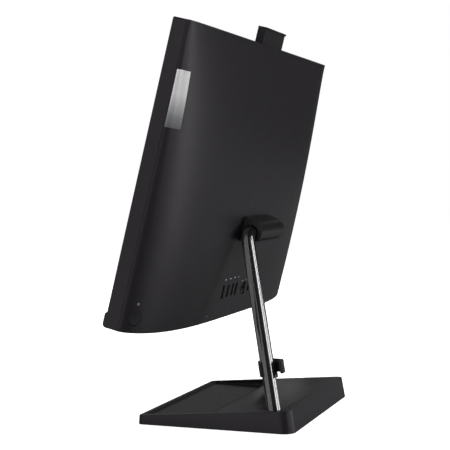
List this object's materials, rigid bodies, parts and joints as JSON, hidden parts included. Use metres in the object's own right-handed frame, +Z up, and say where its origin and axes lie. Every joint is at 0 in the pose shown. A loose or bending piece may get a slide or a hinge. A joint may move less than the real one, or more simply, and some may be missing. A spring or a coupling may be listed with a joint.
{
  "type": "all-in-one computer",
  "caption": "Desktop computer built into a tilting screen, held by a bent tube that stands at one side of a wedge base with a front tray, with its camera slid up.",
  "frame": {"origin": "middle of the overall box at the level the feet rest on", "axes": "+Z up, screen facing -Y, +X to the right as seen from the front of the screen, the stand tube on the +X side"},
  "size_m": [0.541, 0.186, 0.4653],
  "materials": {
    "casing_black": "fine-textured moulded plastic, satin",
    "hinge_black": "smooth satin moulded plastic",
    "tube_black": "polished black-plated steel",
    "clip_black": "smooth moulded plastic",
    "bezel_black": "matte moulded plastic",
    "screen_dark": "anti-glare screen film, switched off",
    "badge_silver": "fine brushed, plain",
    "light_white": "translucent white",
    "port_metal": "plated",
    "sheet_steel": "zinc plated",
    "dark_steel": "black oxide",
    "board_green": "solder mask",
    "copper": "bare copper",
    "fin_aluminium": "bare",
    "fan_black": "moulded",
    "rubber_black": "matte",
    "mat_grey": "soft-touch",
    "lens_glass": "dark clear window"
  },
  "bodies": {
    "stand": {"base_shell": "casing_black", "base_plate": "dark_steel", "base_weight": "dark_steel", "tube_socket": "dark_steel", "tray_mat": "mat_grey", "rubber_foot_1": "rubber_black", "rubber_foot_2": "rubber_black", "rubber_foot_3": "rubber_black", "rubber_foot_4": "rubber_black", "base_screw_1": "dark_steel", "base_screw_2": "dark_steel", "base_screw_3": "dark_steel", "base_screw_4": "dark_steel", "stand_tube": "tube_black", "hinge_shaft": "dark_steel", "hinge_nut": "dark_steel", "spring_washer": "dark_steel"},
    "display": {"mid_frame": "casing_black", "front_bezel": "bezel_black", "screen_panel": "screen_dark", "chin_bar": "bezel_black", "rear_cover": "casing_black", "badge_plate": "badge_silver", "status_light": "light_white", "hinge_housing": "hinge_black", "hdmi_port": "port_metal", "usb_port_1": "port_metal", "usb_port_2": "port_metal", "usb_port_3": "port_metal", "network_port": "port_metal", "power_inlet": "port_metal", "chassis_plate": "sheet_steel", "hinge_bracket": "sheet_steel", "mainboard": "board_green", "io_board": "board_green", "io_bracket": "sheet_steel", "memory_module": "board_green", "ssd_card": "board_green", "wifi_card": "board_green", "cooler_plate": "copper", "heat_pipe": "copper", "heat_sink": "fin_aluminium", "storage_drive": "dark_steel", "drive_bracket": "sheet_steel", "speaker_left": "fan_black", "speaker_right": "fan_black", "fan_housing": "fan_black", "power_switch": "board_green", "camera_guide": "fan_black"},
    "camera": {"camera_housing": "casing_black", "camera_window": "lens_glass", "camera_lens": "lens_glass"},
    "button": {"power_button": "casing_black"},
    "fan": {"fan_rotor": "fan_black"},
    "clip": {"cable_clip": "clip_black"}
  },
  "joints": [
    {"name": "display_tilt", "type": "hinge", "parent": "stand", "child": "display", "pos_m": [0, 0.01783, 0.22091], "axis": [-1, 0, 0], "range_deg": [-18.66, 6.34]},
    {"name": "camera_slide", "type": "slide", "parent": "display", "child": "camera", "axis": [0, 0.2387, 0.9711], "range_m": [-0.017, 0]},
    {"name": "power_press", "type": "slide", "parent": "display", "child": "button", "axis": [-0.5521, -0.8084, 0.2043], "range_m": [0, 0.0008], "stiffness_N_per_m": 1200},
    {"name": "fan_spin", "type": "hinge", "parent": "display", "child": "fan", "pos_m": [-0.15, -0.01538, 0.27768], "axis": [0, 0.9711, -0.2387], "continuous": true},
    {"name": "clip_slide", "type": "slide", "parent": "stand", "child": "clip", "axis": [-0.2484, -0.2359, 0.9395], "range_m": [-0.03, 0.125]}
  ]
}
